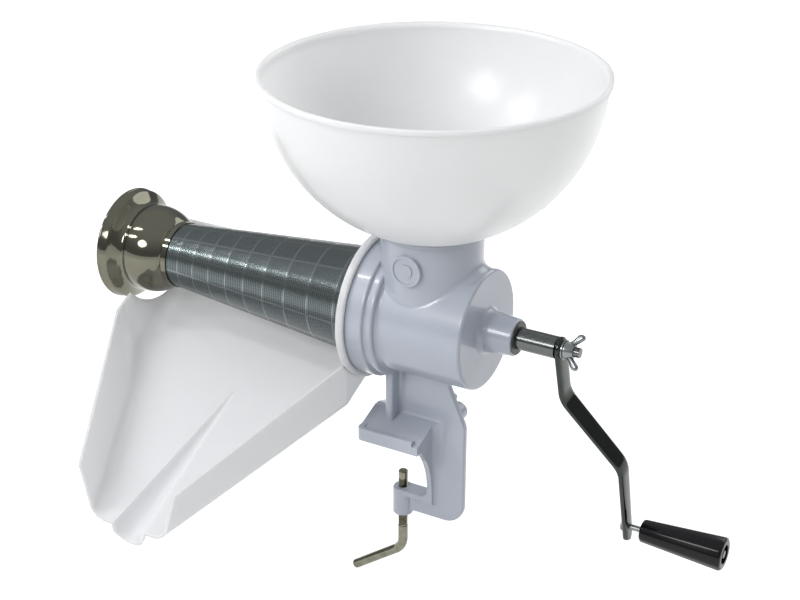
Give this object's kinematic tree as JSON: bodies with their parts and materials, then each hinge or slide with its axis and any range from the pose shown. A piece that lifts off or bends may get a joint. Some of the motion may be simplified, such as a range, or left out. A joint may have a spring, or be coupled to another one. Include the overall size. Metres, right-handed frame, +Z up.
{
  "type": "hand cranked tomato strainer",
  "caption": "Table-clamped hand cranked tomato strainer with hopper bowl, conical screen, juice tray and bent crank.",
  "frame": {"origin": "on the face that sits on the table, on the axis of the clamp screw", "axes": "+Z up; +X along the barrel from the screen towards the crank; -Y towards the mouth of the juice tray"},
  "size_m": [0.5498, 0.332, 0.4749],
  "materials": {
    "enamel": "gloss enamel",
    "steel": "polished",
    "chrome": "polished",
    "zinc": "satin",
    "white_plastic": "gloss",
    "black_plastic": "gloss",
    "nylon": "satin",
    "rubber": "matte"
  },
  "bodies": {
    "frame": {"housing": "enamel", "shaft_bush": "nylon", "shaft_seal": "rubber", "screen_gasket": "rubber", "screen_cone": "steel", "screen_end_band": "steel", "outlet_bell": "steel", "bell_lip": "steel"},
    "rotor": {"drive_shaft": "chrome", "thrust_washer": "nylon", "drive_pin": "steel", "auger": "nylon", "crank_arm": "chrome", "crank_washer": "zinc", "wing_nut": "zinc", "grip_pin": "zinc", "grip_washer": "zinc", "grip_nut": "zinc"},
    "grip": {"grip": "black_plastic"},
    "hopper": {"hopper_bowl": "white_plastic"},
    "tray": {"chute_ring": "white_plastic", "chute": "white_plastic"},
    "tip": {"clamp_tip": "zinc"},
    "screw": {"clamp_screw": "zinc"}
  },
  "joints": [
    {"name": "crank_spin", "type": "hinge", "parent": "frame", "child": "rotor", "pos_m": [0.105, 0, 0.112], "axis": [1, 0, 0], "continuous": true},
    {"name": "grip_spin", "type": "hinge", "parent": "rotor", "child": "grip", "pos_m": [0.23, 0.05099, -0.06583], "axis": [1, 0, 0], "continuous": true},
    {"name": "hopper_lift", "type": "slide", "parent": "frame", "child": "hopper", "axis": [0, 0, 1], "range_m": [0, 0.06]},
    {"name": "tray_twist", "type": "hinge", "parent": "frame", "child": "tray", "pos_m": [-0.025, 0, 0.112], "axis": [1, 0, 0], "range_deg": [-45, 0]},
    {"name": "clamp_travel", "type": "slide", "parent": "frame", "child": "tip", "axis": [0, 0, 1], "range_m": [-0.012, 0.013]},
    {"name": "clamp_turn", "type": "hinge", "parent": "tip", "child": "screw", "pos_m": [0, 0, -0.06], "axis": [0, 0, 1], "range_deg": [-3438, 3724]}
  ],
  "couplings": [
    {"joint": "clamp_travel", "follows": "clamp_turn", "m_per_rad": 0.00019894}
  ]
}
